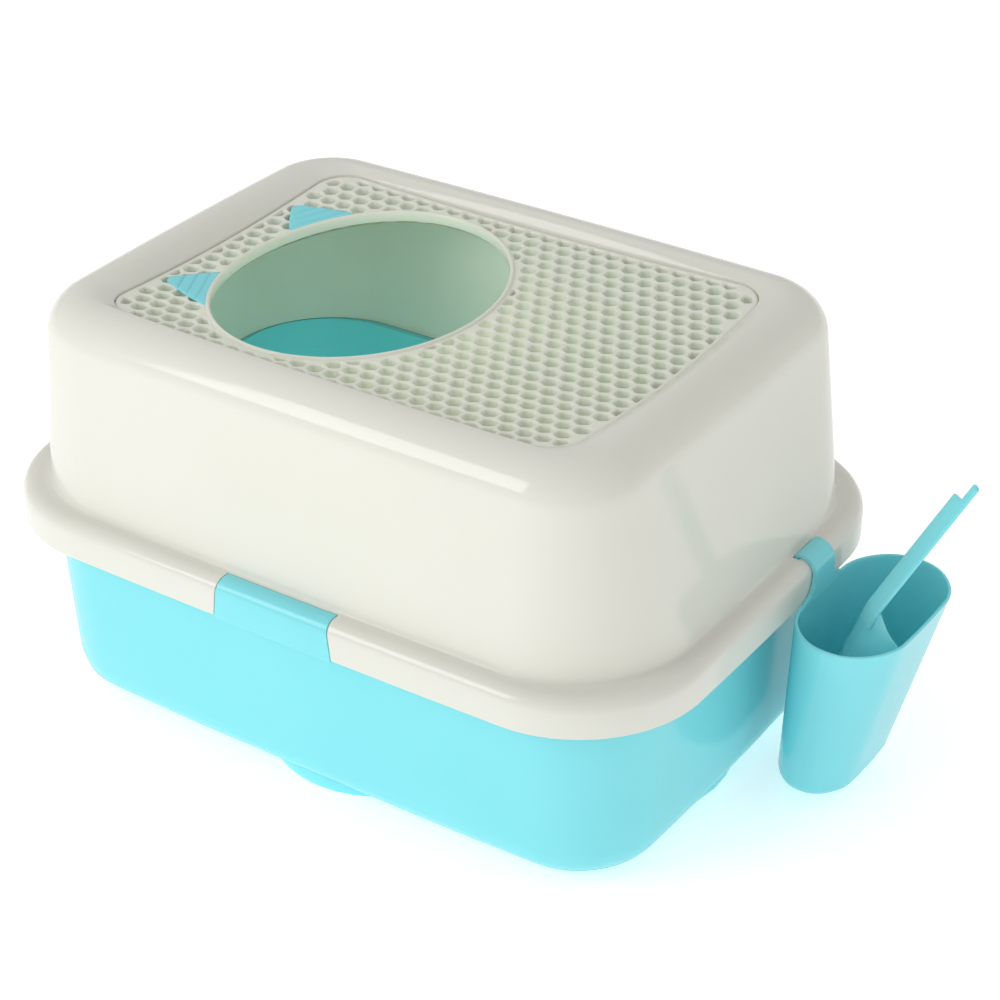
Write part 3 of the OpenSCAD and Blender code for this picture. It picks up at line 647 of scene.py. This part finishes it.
turn = np.radians([90, 72, 54, 36, 18, 0])
floor_out = [(0, 8 * (1 - np.sin(a)), 12.5 + 8 * (1 - np.cos(a))) for a in turn[::-1]]
floor_in = [(0, THIN + 5.8 * (1 - np.sin(a)), 14.7 + 5.8 * (1 - np.cos(a))) for a in turn]
walls = np.linspace(0.12, 0.97, 8)
mouth = [(1, 0, 143.7), (1, 0.3, 144.3), (1, 1.1, 144.5), (1, 1.9, 144.3), (1, THIN, 143.7)]
sides = ([(t, 0, 20.5 + 124 * t) for t in walls] + mouth
         + [(t, THIN, 20.5 + 124 * t) for t in walls[::-1]])
cup = pail(floor_out + sides + floor_in)
under, over = cup[:1].copy(), cup[-1:].copy()
under[..., :2] = over[..., :2] = (283.8, BUCKET_Y)
cup = np.concatenate([under, (under + cup[:1]) / 2, cup, (over + cup[-1:]) / 2, over])


def strap():
    """The strap as rows along its path, each a closed loop round a flat section. The path rises, turns
    a quarter circle over the skirt and a small one down into the slot; its half width swells into the
    mouth by a quarter circle on each side."""
    rise = [(266.7, z) for z in (141.5, 144.5, 146.5, 149, 152, 155, 158, 160.5)]
    over = [(256 + 10.7 * np.cos(a), 160.5 + 10.7 * np.sin(a))
            for a in np.radians(np.arange(10, 91, 10))]
    turned = [(254.6 - 1.4 * np.sin(a), 169.8 + 1.4 * np.cos(a)) for a in np.radians([0, 30, 60, 90])]
    path = np.array(rise + over + turned + [(253.2, 166.5), (253.2, 164.2), (253.2, 163.6)])
    ahead = np.gradient(path, axis=0)
    ahead /= np.hypot(*ahead.T)[:, None]
    across = np.column_stack([ahead[:, 1], -ahead[:, 0]])
    above = np.clip(path[:, 1] - 144.5, 0, 13)
    wide = 13 + np.where(np.arange(len(path)) < 8, 13 - np.sqrt(13 ** 2 - (13 - above) ** 2), 0)
    thick = np.full(len(path), 1.4)
    thick[-1], wide[-1] = 0.9, 12.4
    edge = [-1, -0.9, 0, 0.9, 1]
    ring = np.array([(e, -1) for e in edge] + [(e, 1) for e in edge[::-1]])
    y = BUCKET_Y + wide[:, None] * ring[:, 0]
    side = thick[:, None] * ring[:, 1]
    x = path[:, :1] + side * across[:, :1]
    z = path[:, 1:] + side * across[:, 1:]
    points, faces = grid(np.stack([x, y, z], axis=-1))
    end = len(points) - len(ring)
    return points, faces + [list(range(len(ring)))[::-1], list(range(end, len(points)))]


make("bucket_and_strap", [grid(cup), strap()], "bucket", ["bucket"], aqua, bevel=0.35)

# --- Scoop -----------------------------------------------------------------------------------
# The scoop, moulded in one of the same aqua polypropylene, leans in the bucket. Its blade is a third
# of a tube with five sifting slots, and a flat handle laps over it and ends in a narrow tongue.


def placed(points):
    """Scoop points from its own axes, blade along Z, to where it leans in the bucket."""
    turn = Matrix.Rotation(np.radians(29), 3, "Z") @ Matrix.Rotation(np.radians(21), 3, "Y")
    turn = np.array(turn @ Matrix.Rotation(np.radians(200), 3, "Z"))
    return points @ turn.T + (280.6, 19.27, 58.7)


# The blade is a grid of height and angle round its tube. Two columns follow the sides of each slot,
# and between them the quads are left out; each slot ends in half circles.
BLADE_R, SLOT_HALF, SLOTS = 28.2, 2.5, 5
across = np.array([1, 0.75, 0.4, 0])
ends = np.maximum(SLOT_HALF * np.sqrt(1 - across ** 2), 0.02)
depth = SLOT_HALF * (1 - across)
levels = np.concatenate([[0, 6], 12 + depth, [28, 46], 62 - depth[::-1], [72, 82]])
half = np.concatenate([[0.5, 0.5], ends, [SLOT_HALF, SLOT_HALF], ends[::-1], [0.5, 0.5]])
spokes = np.radians([-60.0, -52.0, *np.repeat(20.0 * np.arange(-2, 3), 2), 52.0, 60.0])
sides = np.array([0, 0] + [-1, 1] * SLOTS + [0, 0])
angle = spokes + sides * half[:, None] / 27.1
blade_z = levels[:, None] + 0 * angle
crest = spokes + sides * SLOT_HALF / 27.1
top = 104 - 14 * np.clip((np.abs(BLADE_R * np.sin(crest)) - 8) / 20.2, 0, 1)
angle = np.vstack([angle, crest, crest])
blade_z = np.vstack([blade_z, (blade_z[-1] + top) / 2, top])
points = np.stack([-BLADE_R + BLADE_R * np.cos(angle), BLADE_R * np.sin(angle), blade_z], axis=-1)
keep = np.ones((points.shape[0] - 1, points.shape[1] - 1), bool)
keep[2:11, 2:2 + 2 * SLOTS:2] = False
blade_points, blade_faces = grid(points, closed=False, keep=keep)
blade = make("scoop_blade", [(placed(blade_points), blade_faces)], "scoop", ["scoop"], aqua,
             turn_out=False)
wall = blade.modifiers.new("wall", "SOLIDIFY")
wall.thickness, wall.offset, wall.use_even_offset = THIN * MM, -1.0, True
round_edges(blade, 0.4, harden=False)


def handle():
    """The handle as rows along its path, each a closed loop round a flat section with round edges. The
    path is two straight runs with a bend of 11 degrees between them, and its left side steps in."""
    bend = np.radians(11)
    way = np.array([-np.sin(bend), np.cos(bend)])
    along = np.array([-12, -11.2, -6, 0, 3, 20, 50, 80, 92, 93, 94, 95, 104, 107.2, 108])
    path = np.where(along[:, None] < 0, along[:, None] * (0, 1), along[:, None] * way) + (0.08, 104)
    left = np.interp(along, [92, 93, 94, 95], [-7.5, -6.6, -0.5, 1.5])
    right = np.full(len(along), 7.5)
    thick = np.full(len(along), 1.6)
    thick[-1] = 1.0
    left[-1] += 0.8
    right[-1] -= 0.8
    a = np.radians([-90, -54, -18, 18, 54, 90])
    loop = np.column_stack([1.2 * np.cos(a), np.sin(a)])
    loop = np.concatenate([loop, -loop])
    outer = np.arange(12) < 6
    y = np.where(outer, right[:, None] - 1.2, left[:, None] + 1.2) + loop[:, 0]
    side = thick[:, None] * loop[:, 1]
    lean = np.where(along[:, None] < 0, (1.0, 0.0), (np.cos(bend), np.sin(bend)))
    x = path[:, :1] + side * lean[:, :1]
    z = path[:, 1:] + side * lean[:, 1:]
    points, faces = grid(np.stack([x, y, z], axis=-1))
    end = len(points) - 12
    return placed(points), faces + [list(range(12))[::-1], list(range(end, end + 12))]


make("scoop_handle", [handle()], "scoop", ["scoop"], aqua, sharp=60)

# --- Stage -----------------------------------------------------------------------------------
# The object stands on white paper in a white room, as in a product picture: even light from all
# sides, and one square lamp from the front left.

# White paper, matt, with fibres about 1 mm wide; it glows a little, so that no shade greys it
bpy.ops.mesh.primitive_plane_add(size=30, location=(0, 0, 0))
floor = bpy.context.object
floor.name = "floor"
paper = bpy.data.materials.new("white_paper")
paper.use_nodes = True
tree = paper.node_tree
tree.nodes.clear()
place = add(tree, "TexCoord").outputs["Object"]
fibre = add(tree, "TexNoise", {"Vector": place, "Scale": 900.0, "Detail": 2.0})
tone = add(tree, "MapRange", {0: fibre.outputs["Fac"], 3: 0.75, 4: 0.85})
matt = add(tree, "BsdfPrincipled", {
    "Base Color": linear("#FFFFFF"), "Roughness": tone.outputs[0], "Specular IOR Level": 0.1,
    "Emission Color": linear("#FFFFFF"), "Emission Strength": 0.42})
add(tree, "OutputMaterial", {"Surface": matt.outputs[0]}).is_active_output = True
floor.data.materials.append(paper)
floor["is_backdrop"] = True

world = bpy.data.worlds.new("soft_room")
bpy.context.scene.world = world
world.use_nodes = True
background = world.node_tree.nodes["Background"]
background.inputs["Color"].default_value = linear("#FFFFFF")
background.inputs["Strength"].default_value = 0.7

# The key lamp, in metres and watts, turned to the middle of the box
data = bpy.data.lights.new("key", "AREA")
data.shape, data.size, data.size_y, data.energy = "RECTANGLE", 0.9, 0.9, 10.7
key = bpy.data.objects.new("key", data)
bpy.context.scene.collection.objects.link(key)
key.location = (-0.8, -1.6, 1.15)
key.rotation_euler = (Vector((0, 0, 0.2)) - key.location).to_track_quat("-Z", "Y").to_euler()

# Daylight comes through the milky walls by many bounces; a soft lamp inside the hood stands for it
glow = bpy.data.lights.new("glow_inside", "POINT")
glow.energy, glow.shadow_soft_size, glow.color = 0.42, 0.09, (0.98, 1.0, 0.74)
inside_lamp = bpy.data.objects.new("glow_inside", glow)
bpy.context.scene.collection.objects.link(inside_lamp)
inside_lamp.location = (0.05, -0.03, 0.21)
inside_lamp.visible_glossy = False

# The camera stands where the photo was taken from: its angles in degrees, its distance and the point
# it looks at in mm, its lens in mm on a sensor 36 mm wide
azimuth, elevation, roll = np.radians([34.01, 31.12, -0.26])
DISTANCE = 1737.2
back = np.array([np.sin(azimuth) * np.cos(elevation), -np.cos(azimuth) * np.cos(elevation),
                 np.sin(elevation)])
right = np.array([np.cos(azimuth), np.sin(azimuth), 0])
upward = np.cross(back, right)
aim = np.array([0, 0, 195]) + right * 41.16 - upward * 37.9
across = right * np.cos(roll) + upward * np.sin(roll)
upright = -right * np.sin(roll) + upward * np.cos(roll)
lens = bpy.data.cameras.new("photo")
lens.lens, lens.sensor_width, lens.clip_end = 91.72, 36.0, 50.0
camera = bpy.data.objects.new("photo", lens)
bpy.context.scene.collection.objects.link(camera)
turned = Matrix(np.column_stack([across, upright, back]).tolist()).to_4x4()
turned.translation = Vector((aim + back * DISTANCE) * MM)
camera.matrix_world = turned
bpy.context.scene.camera = camera
bpy.context.scene.view_settings.view_transform = "Standard"

low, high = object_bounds()
